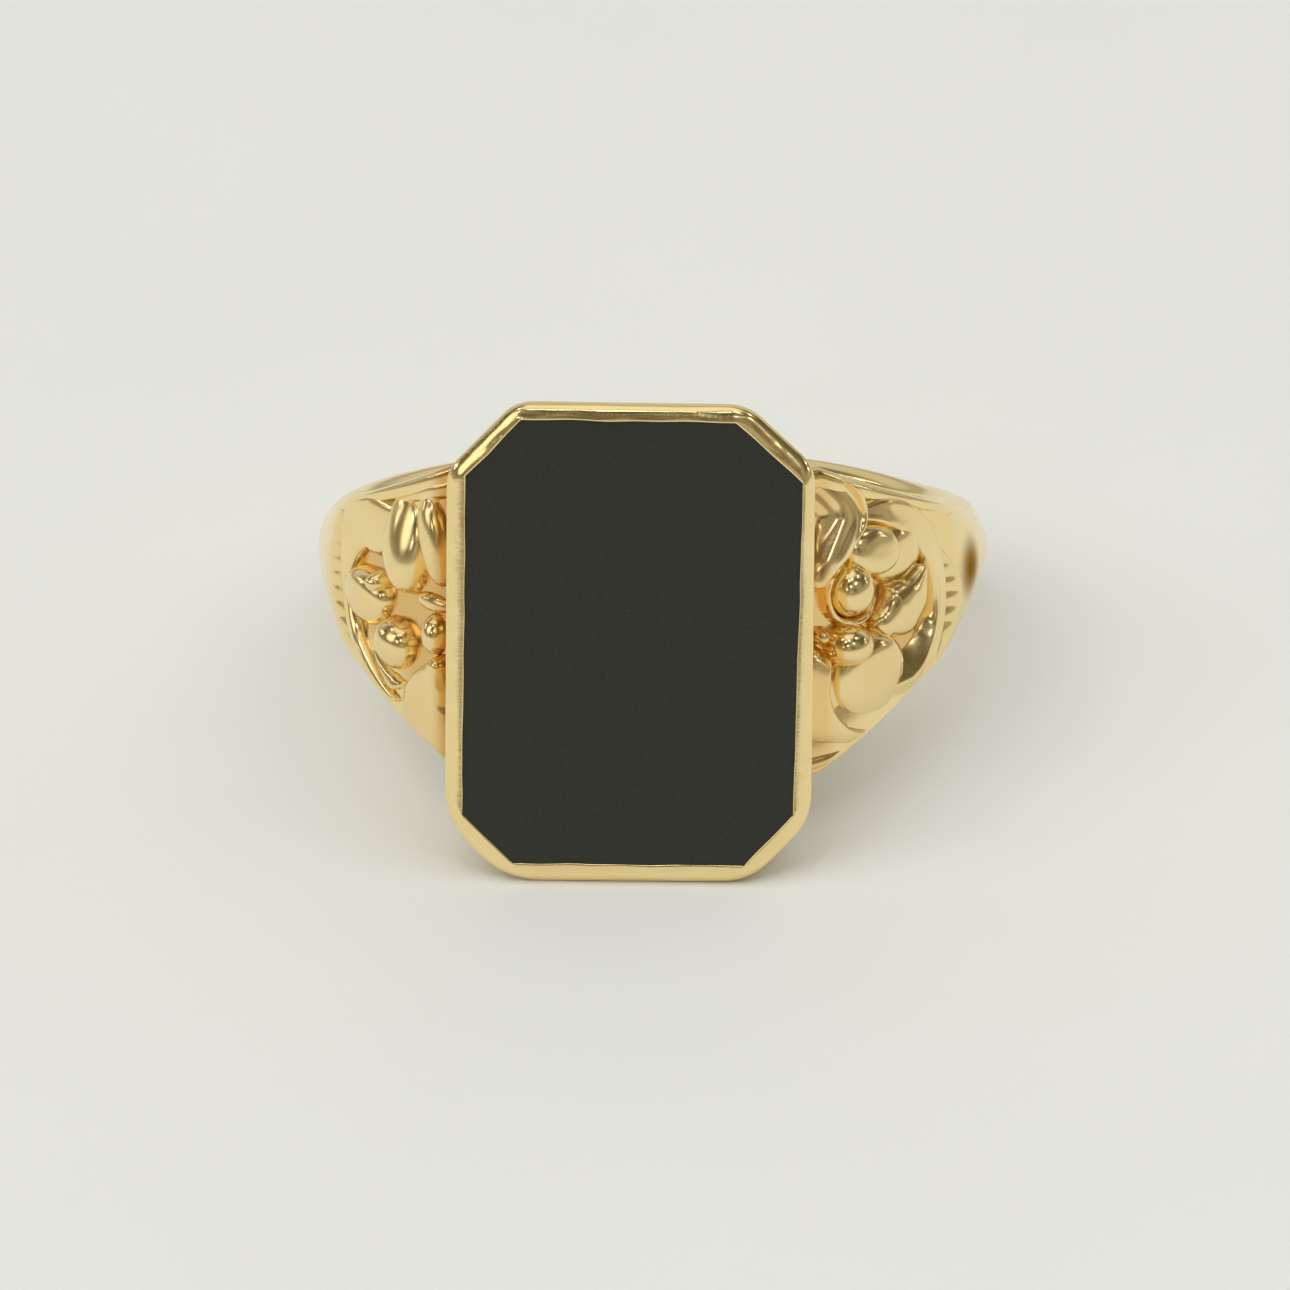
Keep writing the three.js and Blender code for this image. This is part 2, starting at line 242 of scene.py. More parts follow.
def onyx_material():
    """Black stone with a fine even grain, a few specks and a slightly worn polish."""
    material, tree, surface = node_material("black_onyx")
    grain = add_noise(tree, 9000, 2.0)
    stone = ramp(tree, grain, [(0.3, (0.026, 0.027, 0.0245)), (0.7, (0.031, 0.032, 0.0295))])
    where = tree.nodes.new("ShaderNodeTexCoord")
    cells = tree.nodes.new("ShaderNodeTexVoronoi")
    cells.inputs["Scale"].default_value = 260
    tree.links.new(where.outputs["Object"], cells.inputs["Vector"])
    specks = ramp(tree, cells.outputs["Distance"], [(0.0, (1, 1, 1)), (0.015, (0, 0, 0))])
    dusty = tree.nodes.new("ShaderNodeMix")
    dusty.data_type = "RGBA"
    tree.links.new(specks, dusty.inputs["Factor"])
    tree.links.new(stone, dusty.inputs["A"])
    dusty.inputs["B"].default_value = (0.16, 0.16, 0.15, 1)
    tree.links.new(dusty.outputs["Result"], surface.inputs["Base Color"])
    tree.links.new(ramp(tree, add_noise(tree, 500, 4.0), grey(0.22, 0.27)), surface.inputs["Roughness"])
    surface.inputs["Specular IOR Level"].default_value = 0.35
    bump = tree.nodes.new("ShaderNodeBump")
    bump.inputs["Strength"].default_value = 0.1
    bump.inputs["Distance"].default_value = 0.000002
    tree.links.new(add_noise(tree, 12000, 2.0), bump.inputs["Height"])
    tree.links.new(bump.outputs["Normal"], surface.inputs["Normal"])
    return material


WORN_GOLD = ((0.99, 0.8, 0.43), (0.95, 0.755, 0.37), (0.11, 0.2))
# the middle of a brown patch, which darkens the colour and dulls the reflection about it
PATCH_CENTRE = to_row((10.38, 0.5, 3.3))[0]
POLISHED = gold("polished_gold", *WORN_GOLD, 0.45, 0.3)
RUBBED = gold("rubbed_gold", *WORN_GOLD, 0.55, 0.45)
PATCHED_GOLD = gold("patched_gold", *WORN_GOLD, 0.45, 0.3, None, PATCH_CENTRE)
GROUND = gold("shoulder_gold", *WORN_GOLD, 0.45, 0.3, FLOOR_R, PATCH_CENTRE)
RELIEF = gold("relief_gold", (0.98, 0.79, 0.43), (0.93, 0.72, 0.35), (0.15, 0.22), 0.25, 0.15, FLOOR_R)
ONYX = onyx_material()


# ---- meshes ---------------------------------------------------------------------------------------------
def add_piece(name, points, faces, material, nodes):
    mesh = bpy.data.meshes.new(name)
    mesh.from_pydata(to_row(points).tolist(), [], faces)
    mesh.validate()
    mesh.materials.append(material)
    caps = set()
    for polygon in mesh.polygons:
        polygon.use_smooth = polygon.loop_total <= 4
        if not polygon.use_smooth:
            caps.update(polygon.edge_keys)
    for edge in mesh.edges:
        edge.use_edge_sharp = edge.key in caps
    obj = bpy.data.objects.new(name, mesh)
    bpy.context.collection.objects.link(obj)
    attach(obj, "root")
    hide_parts(*nodes)
    return obj


def loft(rows, closed_rows=False, flip=False):
    """Faces over an array of closed loops, rows by points by 3."""
    count, around = rows.shape[:2]
    faces = []
    for i in range(count if closed_rows else count - 1):
        for j in range(around):
            a, b = i * around + j, i * around + (j + 1) % around
            c, d = ((i + 1) % count) * around + (j + 1) % around, ((i + 1) % count) * around + j
            faces.append((a, d, c, b) if flip else (a, b, c, d))
    return faces


def smoothstep(low, high, x):
    t = np.clip((x - low) / (high - low), 0, 1)
    return t * t * (3 - 2 * t)


def catmull_rom(points, per_span=10):
    """A smooth line through the points, as an array."""
    p = np.asarray(points, float)
    p = np.vstack([2 * p[0] - p[1], p, 2 * p[-1] - p[-2]])
    t = np.linspace(0, 1, per_span, endpoint=False)[:, None]
    spans = [
        0.5 * (2 * b + (c - a) * t + (2 * a - 5 * b + 4 * c - d) * t**2 + (3 * b - a - 3 * c + d) * t**3)
        for a, b, c, d in zip(p, p[1:], p[2:], p[3:])
    ]
    return np.vstack([*spans, p[-2]])


def half_width(degrees):
    away = np.abs(np.asarray(degrees, float))
    share = np.clip((90 - away) / (90 - HEAD_ANGLE), 0, 1)
    front = HALF_WIDTH_SIDE + (HALF_WIDTH_HEAD - HALF_WIDTH_SIDE) * share**FLARE
    back = HALF_WIDTH_SIDE + (HALF_WIDTH_BACK - HALF_WIDTH_SIDE) * (away - 90) / 90
    return np.where(away > 90, back, front)


def rise(degrees):
    """How far the hoop's middle line sits above the middle of the head."""
    away = np.abs(np.asarray(degrees, float))
    return RISE * smoothstep(25, 75, away) * (1 - smoothstep(82, 132, away))


def on_hoop(degrees, y, radius):
    angle = np.radians(degrees)
    return np.stack(np.broadcast_arrays(radius * np.sin(angle), y, radius * np.cos(angle)), -1)


# ---- the head ---------------------------------------------------------------------------------------------
def rounded_outline(corners, radii, edge_points=16, arc_points=9):
    """An octagon with each corner rounded to its radius, always with the same number of points."""
    corners = [np.array(c, float) for c in corners]
    count = len(corners)
    arcs = []
    for i, (corner, radius) in enumerate(zip(corners, radii)):
        before, after = corners[i - 1] - corner, corners[(i + 1) % count] - corner
        before, after = before / np.linalg.norm(before), after / np.linalg.norm(after)
        turn = math.acos(np.clip(before @ after, -1, 1))
        reach = radius / math.tan(turn / 2)
        centre = corner + (before + after) / np.linalg.norm(before + after) * radius / math.sin(turn / 2)
        start, end = corner + before * reach - centre, corner + after * reach - centre
        sweep = math.pi - turn
        arcs.append([
            centre + (math.sin((1 - s) * sweep) * start + math.sin(s * sweep) * end) / math.sin(sweep)
            for s in np.linspace(0, 1, arc_points)
        ])
    points = []
    for i, arc in enumerate(arcs):
        points.extend(arc)
        here, there = arc[-1], arcs[(i + 1) % count][0]
        points.extend(here + (there - here) * s for s in np.linspace(0, 1, edge_points + 2)[1:-1])
    return np.array(points)


def offset_octagon(corners, distance):
    """The octagon with every edge moved inwards by a distance."""
    corners = [np.array(c, float) for c in corners]
    moved = []
    for i, corner in enumerate(corners):
        before, after = corner - corners[i - 1], corners[(i + 1) % len(corners)] - corner
        n0, n1 = (np.array([d[1], -d[0]]) / np.linalg.norm(d) for d in (before, after))
        moved.append(corner + (n0 + n1) / (1 + n0 @ n1) * distance)
    return moved


def collet():
    """One closed skin: down the mouth, over the rubbed-over rim, down the wall and up inside it."""
    # share of the way from the stone to the widest outline, height over the stone, and the same height
    # at the top edge, where the rim was left flatter
    rim = catmull_rom(
        [(0, -0.06, -0.06), (0, 0.03, 0.03), (0.03, 0.055, 0.05), (0.1, 0.062, 0.056), (0.25, 0.047, 0.046),
         (0.42, 0.008, 0.024), (0.6, -0.05, -0.011), (0.76, -0.12, -0.075), (0.9, -0.2, -0.165),
         (0.975, -0.262, -0.25), (1, -0.31, -0.31)], 4)
    inner, outer, radii = np.array(STONE), np.array(OUTER), np.array(OUTER_RADII)
    rows = []
    for share, height, top_height in rim:
        share = min(max(share, 0), 1)
        loop = rounded_outline(inner + (outer - inner) * share, 0.05 + (radii - 0.05) * share**0.8)
        # the burnisher left the rim a little uneven, most of all against the stone
        wobble = [0.032 * (1 - share) * noise.noise(Vector((x * 0.8, y * 0.8, 3.0))) for x, y in loop]
        top = smoothstep(5.2, 7.0, loop[:, 1])
        swell = [
            0.02 * noise.noise(Vector((x * 0.9, y * 0.9, share * 1.5 + 9.0)))
            + (0.005 + 0.005 * t) * noise.noise(Vector((x * 3, y * 3, share * 4)))
            for (x, y), t in zip(loop, top)
        ]
        scale = 1 + np.array(wobble)[:, None] / 5
        lift = height + (top_height - height) * top
        rows.append(np.column_stack([loop * scale, FACE_Z + lift + np.array(swell) * (share < 0.97)]))
    widest = rounded_outline(OUTER, radii)
    narrower = rounded_outline(offset_octagon(OUTER, 1.0), radii * 0.8)
    foot = np.full(len(widest), 9.5)
    for _ in range(20):
        x = (widest + (narrower - widest) * ((GIRDLE_Z - foot) * TAPER)[:, None])[:, 0]
        foot = np.sqrt((BRIDGE_R + FILM) ** 2 - x**2)
    for s in np.linspace(0.06, 1, 14):
        z = GIRDLE_Z + (foot - GIRDLE_Z) * s
        inset = (GIRDLE_Z - z) * TAPER
        rows.append(np.column_stack([widest + (narrower - widest) * inset[:, None], z]))
    for s in np.linspace(1, 0, 8):
        z = GIRDLE_Z - 0.2 + (foot - GIRDLE_Z + 0.2) * s
        inset = (GIRDLE_Z - z) * TAPER + WALL
        rows.append(np.column_stack([widest + (narrower - widest) * inset[:, None], z]))
    rows = np.array(rows)
    faces = loft(rows, closed_rows=True)
    return add_piece("collet_wall", rows.reshape(-1, 3), faces, RUBBED, ["collet"])


def tablet():
    """The stone: a flat polished face, tucked under the rim all round."""
    levels = [(0.0, -0.15), (-0.25, -0.1), (-STONE_DEPTH, 0.35)]
    rows = []
    for height, inset in levels:
        loop = rounded_outline(offset_octagon(STONE, inset), [0.1] * 8)
        rows.append(np.column_stack([loop, np.full(len(loop), FACE_Z + height)]))
    rows = np.array(rows)
    count, around = rows.shape[:2]
    faces = loft(rows)
    faces.append(tuple(range(around - 1, -1, -1)))
    faces.append(tuple(range((count - 1) * around, count * around)))
    obj = add_piece("onyx_stone", rows.reshape(-1, 3), faces, ONYX, ["onyx_tablet"])
    obj.data.polygons.foreach_set("use_smooth", [False] * len(obj.data.polygons))
    return obj


# ---- the hoop -----------------------------------------------------------------------------------------
def shank_outside(degrees, t):
    """Outer radius of the shank at an angle and a share t of the half width."""
    fullness = np.clip((180 - np.asarray(degrees, float)) / (180 - JOINT_ANGLE), 0, 1.15)
    thickness = 0.8 + 0.55 * (1 - t**2)
    return FINGER_R + thickness * (1 + 0.24 * fullness**2 + 0.3 * t**2 * fullness**6)


def shoulder_outside(degrees, t):
    """Outer radius of a shoulder: a dished ground that climbs out onto the shank, with a raised line along
    its upper edge."""
    degrees = np.asarray(degrees, float)
    out_to_shank = smoothstep(60, 68, degrees + 3.5 * t**2)
    line = 0.24 * np.sqrt(np.clip(1 - ((t - 0.93) / 0.075) ** 2, 0, 1))
    ground = FLOOR_R + 0.14 * smoothstep(0.3, 0.8, t) + 0.22 * smoothstep(0.35, 0.9, -t) + line
    return ground + (shank_outside(np.maximum(degrees, 62), t) - ground) * out_to_shank


def edge_drop(y, width, softness):
    """How far the rounding of an edge falls away."""
    past = np.clip((np.abs(y) - width + softness) / softness, 0, 1)
    return softness * (1 - np.sqrt(1 - past**2))


def band(outside, angles, across=33, softness=0.13):
    """A length of the hoop as closed loops of points, with rounded edges."""
    t = np.sin(np.linspace(-math.pi / 2, math.pi / 2, across))
    t_in = np.linspace(1, -1, 13)
    rows = []
    for degrees in angles:
        width = float(half_width(degrees))
        outer = outside(degrees, t) - edge_drop(t * width, width, softness)
        inner = FINGER_R + edge_drop(t_in * width, width, 0.12)
        rows.append(np.vstack([on_hoop(degrees, t * width, outer), on_hoop(degrees, t_in * width, inner)]))
        rows[-1][:, 1] += rise(degrees)
    return np.array(rows)


def capped(rows, mirrored=False):
    """Faces of a swept band with both ends closed."""
    count, around = rows.shape[:2]
    faces = loft(rows, flip=True)
    faces.append(tuple(range(around)))
    faces.append(tuple(range(count * around - 1, (count - 1) * around - 1, -1)))
    return [face[::-1] for face in faces] if mirrored else faces


def shank():
    rows = []
    for degrees in np.linspace(JOINT_ANGLE, 360 - JOINT_ANGLE, 240):
        from_face = min(degrees, 360 - degrees)
        loop = band(shank_outside, [from_face])[0]
        if degrees > 180:
            loop = loop * (-1, 1, 1)
        loop[:, 1] -= OUT_OF_SQUARE * math.sin(math.radians(degrees)) * smoothstep(95, 130, from_face)
        rows.append(loop)
    rows = np.array(rows)
    add_piece("shank_band", rows.reshape(-1, 3), capped(rows), PATCHED_GOLD, ["shank"])


def bridge():
    rows = band(lambda degrees, t: BRIDGE_R + 0 * t, np.linspace(-BRIDGE_ANGLE, BRIDGE_ANGLE, 50))
    add_piece("bridge_band", rows.reshape(-1, 3), capped(rows), POLISHED, ["bridge_plate"])


def shoulder(side):
    rows = band(shoulder_outside, np.linspace(BRIDGE_ANGLE + FILM_ANGLE, JOINT_ANGLE, 100), across=81)
    if side == "left":
        rows = rows * (-1, 1, 1)
    faces = capped(rows, side == "left")
    add_piece(f"{side}_shoulder_plate", rows.reshape(-1, 3), faces, GROUND, [f"{side}_shoulder"])


# ---- relief -------------------------------------------------------------------------------------------
def nearest_on(phi, y, path):
    """Distance from a path of (degrees, y), the share of the way along it, and how far +y of it."""
    line = catmull_rom(path, 14) * (ARC, 1)
    a, b = line[:-1], line[1:]
    p = np.stack([phi * ARC, y], -1)[..., None, :]
    d = b - a
    share = np.clip(((p - a) * d).sum(-1) / (d**2).sum(-1), 0, 1)
    away = p - (a + share[..., None] * d)
    distance = np.linalg.norm(away, axis=-1)
    nearest = distance.argmin(-1)[..., None]
    pick = [np.take_along_axis(each, nearest, -1)[..., 0] for each in (distance, share, away[..., 1])]
    return pick[0], (nearest[..., 0] + pick[1]) / len(a), pick[2]


def stroke(phi, y, path, width, height, power=2.0, soft=0.5, hollow=0.0, lean=0.0, tilt=0.0):
    """Height of a rounded ridge along a path. Width and height are lists along the path, and a hollow
    dishes its top. A lean makes all of it higher towards +y, a tilt only its own +y edge."""
    near, along, above = nearest_on(phi, y, path)
    w = np.interp(along, np.linspace(0, 1, len(width)), width)
    h = np.interp(along, np.linspace(0, 1, len(height)), height)
    h = h * (1 + lean * (y - np.mean(path, axis=0)[1])) * (1 + tilt * np.clip(above / w, -1, 1))
    e = near / w
    crown = np.clip(1 - e**power, 0, 1) ** soft * (1 - hollow * np.clip(1 - e**2, 0, 1))
    return np.where(e < 1, h * crown, -(e - 1) * 2)


def dome(phi, y, centre, radii, turn, height, power=2.0, lean=0.0):
    """Height of a rounded lobe, whose first radius is turned from the way round the hoop."""
    u, v = (phi - centre[0]) * ARC, y - centre[1]
    c, s = math.cos(math.radians(turn)), math.sin(math.radians(turn))
    e = np.sqrt(((u * c + v * s) / radii[0]) ** 2 + ((v * c - u * s) / radii[1]) ** 2)
    return np.where(e < 1, height * (1 + lean * v) * np.clip(1 - e**power, 0, 1) ** 0.5, -(e - 1) * 2)


def scroll_leaf(phi, y, side):
    if side == "left":
        path = [(36.8, 1.7), (38.2, 2.25), (39.7, 2.9), (40.0, 3.6), (40.0, 4.5), (39.9, 5.4)]
        return stroke(phi, y, path, [0.36, 0.76, 1.06, 1.13, 1.13, 1.1], [0.46, 0.5, 0.52, 0.5, 0.47, 0.43],
                      4.0, lean=-0.2)
    ridge = [
        (29.5, 5.6), (33.6, 5.32), (36.7, 4.9), (39.9, 4.21), (41.1, 3.57), (40.7, 3.06), (39.0, 2.58),
        (36.7, 1.96), (35.0, 1.5), (34.2, 0.95), (35.2, 0.3), (37.6, -0.1), (40.6, -0.2), (43.4, -0.02),
        (45.0, 0.5),
    ]
    edge = stroke(phi, y, ridge, [0.19, 0.19, 0.18, 0.17, 0.18, 0.19, 0.14],
                  [0.62, 0.74, 0.76, 0.7, 0.52, 0.44, 0.3])
    # the hollow inside the turned-over edge rises down towards the berry, and is faintly fluted
    inside = stroke(phi, y, [(29, 5.0), (33, 4.5), (35.6, 3.9), (36.2, 3.1), (34, 2.3), (31.5, 1.6)],
                    [0.8, 1.0, 1.02, 0.95, 0.7, 0.5], [1.0], 6.0)
    from_edge = nearest_on(phi, y, ridge[:9])[0]
    bed = 0.1 + (0.09 + 0.14 * smoothstep(1.5, 0.5, from_edge)) * np.clip(5.3 - y, 0, 3.2)
    flutes = 0.024 * np.cos((from_edge - 0.22) * 2 * math.pi / 0.5) * smoothstep(1.5, 3.0, y)
    return np.maximum(edge, np.where(inside > 0, inside * (bed + flutes), inside))


def scroll_rim(phi, y, side):
    if side == "left":
        path = [(46.8, 3.2), (51.5, 2.78), (57, 2.15), (61.2, 1.5), (63.6, 0.5), (64.2, -0.5), (62.6, -1.6),
                (58.5, -2.45), (53, -2.55), (47, -2.7)]
        return stroke(phi, y, path, [0.12, 0.24, 0.34, 0.4, 0.42, 0.5, 0.8, 1.15, 1.15, 0.8],
                      [0.46, 0.46, 0.44, 0.42, 0.42, 0.44, 0.46, 0.46, 0.44, 0.4], 3.0, tilt=-0.16)
    path = [(42.0, 3.42), (46, 3.36), (50, 3.1), (54, 2.62), (57.8, 1.85), (60.8, 0.9), (62.2, -0.1),
            (61.6, -1.2), (59.2, -2.1), (55.6, -2.7)]
    cove = stroke(phi, y, path, [0.34, 0.56, 0.62, 0.6, 0.5, 0.4, 0.3, 0.2],
                  [0.5, 0.62, 0.64, 0.62, 0.56, 0.5, 0.42, 0.34], 6.0, hollow=0.15, tilt=-0.2)
    line = stroke(phi, y, [(51.8, 2.6), (55.4, 2.05), (58.4, 1.3), (60.0, 0.4), (60.2, -0.6), (58.9, -1.5)],
                  [0.1, 0.17, 0.19, 0.2, 0.22, 0.2], [0.3, 0.5, 0.56, 0.56, 0.56, 0.5])
    # a bank that climbs down to the rim's end
    path = [(60.0, -0.7), (58.6, -1.35), (56.0, -2.0), (53.0, -2.38), (50.2, -2.5), (47.5, -2.6)]
    bank = stroke(phi, y, path, [0.3, 0.5, 0.8, 0.95, 0.85, 0.4], [0.5, 0.56, 0.6, 0.6, 0.54, 0.4], 1.0, 1.0)
    return np.maximum(np.maximum(cove, line), bank)


def upper_petal(phi, y, side):
    if side == "right":
        return dome(phi, y, (43.8, 2.16), (1.24, 0.94), -12, 0.8, 4.0, lean=-0.14)
    return dome(phi, y, (48.0, 1.32), (0.95, 0.9), 0, 0.82, lean=-0.2)


def curled_petal(phi, y, side):
    if side == "right":
        return dome(phi, y, (50.2, 1.85), (1.34, 1.14), -18, 0.66, lean=0.28)
    return stroke(phi, y, [(55.5, 1.8), (51.4, 2.3), (47.8, 2.6), (44.8, 2.55)], [0.1, 0.24, 0.34, 0.12],
                  [0.3, 0.32, 0.34, 0.3], 4.0, lean=0.8)


def middle_petal(phi, y, side):
    if side == "right":
        return stroke(phi, y, [(47.4, -0.4), (50.4, -0.12), (53.4, 0.36), (55.9, 1.1)],
                      [0.62, 1.1, 0.92, 0.3], [0.64, 0.8, 0.78, 0.6], 2.2, lean=0.05)
    return dome(phi, y, (57.3, 0.05), (1.45, 1.0), 4, 0.66, 2.6, lean=-0.32)


def lower_petal(phi, y, side):
    if side == "right":
        return dome(phi, y, (43.9, -2.05), (1.58, 1.5), 0, 0.66, 3.0, lean=0.36)
    return dome(phi, y, (44.8, -2.15), (1.02, 1.7), 4, 0.8, lean=0.26)


def base_leaf(phi, y, side):
    if side == "left":
        lobe = dome(phi, y, (37.8, -2.45), (0.62, 1.55), 8, 0.6, 2.4, lean=-0.1)
        lip = stroke(phi, y, [(28.5, -4.5), (34, -4.3), (40, -3.95), (46.5, -3.5)], [0.45, 0.4, 0.3, 0.16],
                     [0.42, 0.4, 0.3], lean=-0.1)
        return np.maximum(lobe, lip)
    body = stroke(phi, y, [(28.5, -2.2), (32.5, -2.65), (36.5, -3.2), (41.5, -3.7), (47.5, -3.55)],
                  [1.6, 1.5, 1.15, 0.62, 0.35], [0.56, 0.56, 0.52, 0.46, 0.36], 3.0, lean=0.24)
    lip = stroke(phi, y, [(28.5, -4.8), (34, -4.66), (38.5, -4.4)], [0.36, 0.3, 0.12], [0.4, 0.36, 0.24],
                 lean=0.3)
    gap = smoothstep(0.0, 0.5, dome(phi, y, (43.6, -2.15), (1.82, 1.72), 0, 1.0, 3.0))
    return np.maximum(body - 0.42 * gap, lip)


def upper_berry(phi, y, side):
    if side == "right":
        return dome(phi, y, (39.4, 0.94), (0.86, 0.96), 0, 1.02, 2.2)
    return dome(phi, y, (38.2, 0.7), (0.5, 0.7), 0, 0.58)


def lower_berry(phi, y, side):
    if side == "right":
        return dome(phi, y, (39.2, -0.92), (0.92, 0.76), 0, 1.0)
    return dome(phi, y, (52.4, -0.6), (0.44, 0.42), 20, 0.74)


def collet_bead(phi, y, side):
    if side == "right":
        return dome(phi, y, (33.6, -0.5), (0.36, 0.32), 0, 0.56)
    return dome(phi, y, (38.8, -0.34), (0.8, 0.34), -6, 0.26)


def milled_edge(phi, y, side):
    """A low swelling that follows the ground, with a row of faint notches along a bowed line."""
    furthest, height = (65.8, -1.05) if side == "right" else (67.4, -0.1)
    bow = furthest - 3.0 * ((y - height) / 1.8) ** 2
    away = np.abs(phi - bow) * ARC
    off = np.abs(y + 0.3)
    notch = np.cos(y * math.pi / 0.5) ** 4 * smoothstep(0.55, 0.35, away) * smoothstep(2.0, 1.6, off)
    share = ((y if side == "right" else -y) - rise(phi)) / half_width(phi)
    lift = shoulder_outside(phi, share) - FLOOR_R
    strip = 0.045 * np.clip(1 - (away / 0.75) ** 2, -4, 1) * smoothstep(2.5, 1.9, off)
    return np.where(strip > -0.01, lift + strip - 0.045 * notch, -0.4)


RELIEF_SHAPES = {
    "scroll_leaf": (scroll_leaf, (27.5, 47.5), (-0.6, 5.9)),
    "scroll_rim": (scroll_rim, (40, 68), (-4.4, 4.4)),
    "upper_petal": (upper_petal, (36.5, 54), (0.1, 3.3)),
    "curled_petal": (curled_petal, (42, 58.5), (0.5, 3.2)),
    "middle_petal": (middle_petal, (43, 65), (-1.3, 1.3)),
    "lower_petal": (lower_petal, (34, 52), (-4.1, -0.1)),
    "base_leaf": (base_leaf, (27.5, 50), (-5.4, -0.6)),
    "upper_berry": (upper_berry, (34, 44), (-0.1, 2.0)),
    "lower_berry": (lower_berry, (34, 55.5), (-1.9, 0)),
    "collet_bead": (collet_bead, (31, 43.5), (-0.95, 0.15)),
    "milled_edge": (milled_edge, (57.5, 70.9), (-2.6, 2.6)),
}
CELL = 0.04
SINK = -0.12


def softened(height, cells=1.5):
    """The height field after a small blur, as if cast and polished."""
    reach = 4
    kernel = np.exp(-0.5 * (np.arange(-reach, reach + 1) / cells) ** 2)
    kernel /= kernel.sum()
    for axis in (0, 1):
        padded = np.pad(height, [(reach, reach) if axis == k else (0, 0) for k in (0, 1)], mode="edge")
        count = height.shape[axis]
        height = sum(weight * np.take(padded, range(i, i + count), axis) for i, weight in enumerate(kernel))
    return height


def relief_piece(name, side):
    """One raised element, as a closed skin. Its underside lies at one radius, sunk in the shoulder, and
    neighbours are not trimmed, so that pieces share volume where they overlap."""
    shape, (phi0, phi1), (y0, y1) = RELIEF_SHAPES[name]
    phi = np.linspace(phi0, phi1, int((phi1 - phi0) * ARC / CELL))
    ys = np.linspace(y0, y1, int((y1 - y0) / CELL))
    grid_phi, grid_y = np.meshgrid(phi, ys, indexing="ij")
    height = softened(np.clip(shape(grid_phi, grid_y, side), -0.4, None))
    # round over whatever reaches the edge of the hoop
    middle = rise(grid_phi) * (1 if side == "right" else -1)
    past = np.clip((np.abs(grid_y - middle) - half_width(grid_phi) + 0.3) / 0.26, 0, 1)
    height = height * np.sqrt(1 - past**2) - 0.2 * past**2
    height[[0, -1]] = height[:, [0, -1]] = SINK
    kept = height > SINK
    n, m = height.shape
    cells = kept[:-1, :-1] | kept[1:, :-1] | kept[:-1, 1:] | kept[1:, 1:]
    corner = (np.argwhere(cells) @ (m, 1))[:, None]
    top = corner + (0, m, m + 1, 1)
    under = np.arange(n * m)
    under[kept.ravel()] += n * m
    faces = np.vstack([top, under[top][:, ::-1]])
    points = np.vstack([
        on_hoop(grid_phi, grid_y, FLOOR_R + np.maximum(height, SINK)).reshape(-1, 3),
        on_hoop(grid_phi, grid_y, FLOOR_R + SINK).reshape(-1, 3),
    ])
    used, faces = np.unique(faces, return_inverse=True)
    faces = faces.reshape(-1, 4).tolist()
    points = points[used] if side == "right" else points[used] * (-1, -1, 1)
    add_piece(f"{side}_{name}_relief", points, faces, RELIEF, [f"{side}_{name}"])


collet()
tablet()
shank()
bridge()
frame["nodes"]["stone_bearing"].data.materials.clear()
frame["nodes"]["stone_bearing"].data.materials.append(POLISHED)
for side in ("right", "left"):
    shoulder(side)
    for name in RELIEF_SHAPES:
        relief_piece(name, side)


# ---- table, room and lamps ----------------------------------------------------------------------------
def table_top():
    mesh = bpy.data.meshes.new("table_top")
    half = 0.4
    corners = [(-half, -half, 0), (half, -half, 0), (half, half, 0), (-half, half, 0)]
    mesh.from_pydata(corners, [], [(0, 1, 2, 3)])
    obj = bpy.data.objects.new("table_top", mesh)
    bpy.context.collection.objects.link(obj)
    material, tree, surface = node_material("pale_table")
    tree.links.new(
        ramp(tree, add_noise(tree, 60, 3.0), [(0.3, (0.775, 0.795, 0.785)), (0.7, (0.79, 0.81, 0.80))]),
        surface.inputs["Base Color"],
    )
    surface.inputs["Roughness"].default_value = 0.55
    surface.inputs["Specular IOR Level"].default_value = 0.2
    mesh.materials.append(material)


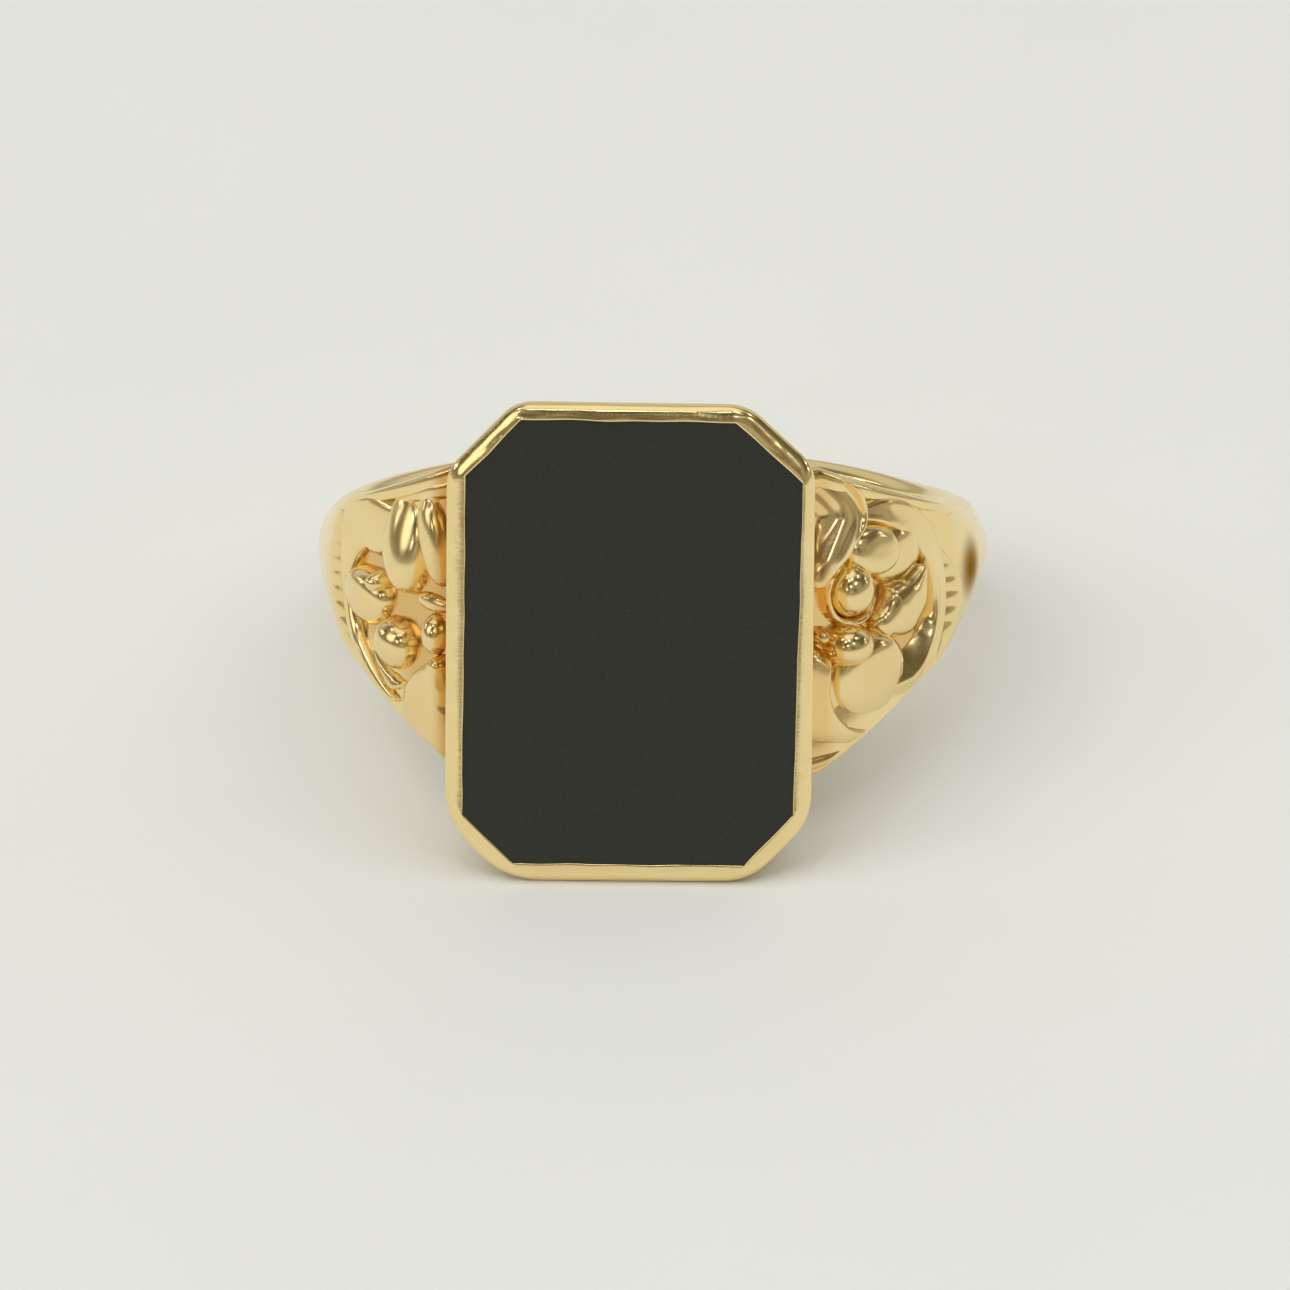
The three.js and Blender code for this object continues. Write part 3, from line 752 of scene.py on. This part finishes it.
def room():
    """What the gold mirrors: a dim brown room in front, lit ceiling overhead, pale wall behind, and a pale
    surround below the horizon."""
    world = bpy.data.worlds.new("room")
    bpy.context.scene.world = world
    world.use_nodes = True
    tree = world.node_tree
    background = tree.nodes["Background"]
    where = tree.nodes.new("ShaderNodeTexCoord")
    split = tree.nodes.new("ShaderNodeSeparateXYZ")
    tree.links.new(where.outputs["Generated"], split.inputs["Vector"])
    clutter = tree.nodes.new("ShaderNodeTexNoise")
    clutter.inputs["Scale"].default_value = 3.2
    clutter.inputs["Detail"].default_value = 3.0
    tree.links.new(where.outputs["Generated"], clutter.inputs["Vector"])
    colours = ramp(tree, clutter.outputs["Fac"], [
        (0.36, (0.06, 0.05, 0.03)), (0.5, (0.17, 0.145, 0.09)), (0.6, (0.34, 0.30, 0.21)),
        (0.7, (0.62, 0.57, 0.45)),
    ])
    windows = [((-0.66, -0.54, 0.52), (1.35, 1.29, 1.1)), ((0.66, -0.56, 0.5), (0.32, 0.3, 0.25))]
    for direction, light in windows:
        window = vector_math(tree, "DOT_PRODUCT", where.outputs["Generated"], Vector(direction).normalized())
        colours = blend(tree, ease(tree, window.outputs["Value"], 0.925, 0.985), colours, light)
    colours = blend(tree, ease(tree, split.outputs["Z"], 0.9, 0.97), colours, (0.95, 0.93, 0.84))
    colours = blend(tree, ease(tree, split.outputs["Y"], 0.3, 0.62), colours, (0.62, 0.61, 0.56))
    flipped = tree.nodes.new("ShaderNodeMath")
    flipped.operation = "MULTIPLY"
    flipped.inputs[1].default_value = -1.0
    tree.links.new(split.outputs["Z"], flipped.inputs[0])
    colours = blend(tree, ease(tree, flipped.outputs[0], -0.3, 0.0), colours, (0.34, 0.31, 0.23))
    colours = blend(tree, ease(tree, flipped.outputs[0], -0.01, 0.03), colours, (0.75, 0.74, 0.70))
    tree.links.new(colours, background.inputs["Color"])
    background.inputs["Strength"].default_value = 1.0


def lamp(name, azimuth, elevation, distance, size, power, glossy):
    """A round lamp aimed at the ring. Azimuth 0 is in front of the face."""
    a, e = math.radians(azimuth), math.radians(elevation)
    away = Vector((math.sin(a) * math.cos(e), -math.cos(a) * math.cos(e), math.sin(e)))
    data = bpy.data.lights.new(name, "AREA")
    data.shape = "DISK"
    data.size = size
    data.energy = power
    obj = bpy.data.objects.new(name, data)
    bpy.context.collection.objects.link(obj)
    obj.location = away * distance + Vector((0, 0, 0.008))
    obj.rotation_mode = "QUATERNION"
    obj.rotation_quaternion = away.to_track_quat("Z", "Y")
    obj.visible_glossy = glossy
    return obj


table_top()
room()
lamp("soft_key", -60, 58, 1.2, 1.2, 4.9, False)
lamp("soft_fill", 85, 62, 1.2, 1.6, 4.9, False)
SMALL_LAMPS = [
    (-16, 24, 0.044), (6, 34, 0.042), (40, 42, 0.054), (-34, 46, 0.05), (-8, 58, 0.05), (20, 62, 0.044),
    (-90, 62, 0.05), (84, 56, 0.05), (-97, 15, 0.036), (-104, 22, 0.036), (-93, 24, 0.03), (-110, 17, 0.03),
    (99, 14, 0.034), (106, 23, 0.034),
]
for number, (azimuth, elevation, size) in enumerate(SMALL_LAMPS):
    area = math.pi * (size / 2) ** 2
    lamp(f"ceiling_lamp_{number}", azimuth, elevation, 0.4, size, 5.0 * math.pi * area, True)


# ---- camera -------------------------------------------------------------------------------------------
def camera():
    """Looks at the face from 3.5 degrees to the right of square and 14.3 degrees above it."""
    distance, azimuth, elevation, roll = 300.0, 3.48, 14.3, -0.27
    a, e = math.radians(azimuth), math.radians(elevation)
    eye = np.array([math.sin(a) * math.cos(e), math.sin(e), math.cos(a) * math.cos(e)]) * distance
    eye = Vector(to_row(eye + (0, 0, FACE_Z))[0])
    aim = Vector(to_row((0.46, 0.06, FACE_Z))[0])
    back = (eye - aim).normalized()
    right = ALONG.cross(back).normalized()
    up = back.cross(right)
    turn = Matrix.Rotation(math.radians(-roll), 3, back)
    right, up = turn.inverted() @ right, turn.inverted() @ up
    data = bpy.data.cameras.new("camera")
    data.sensor_width = 36.0
    data.lens = 261.9
    data.clip_start, data.clip_end = 0.01, 5.0
    obj = bpy.data.objects.new("camera", data)
    bpy.context.collection.objects.link(obj)
    obj.matrix_world = Matrix((
        (right.x, up.x, back.x, eye.x),
        (right.y, up.y, back.y, eye.y),
        (right.z, up.z, back.z, eye.z),
        (0, 0, 0, 1),
    ))
    bpy.context.scene.camera = obj


camera()
bpy.context.scene.view_settings.view_transform = "Standard"
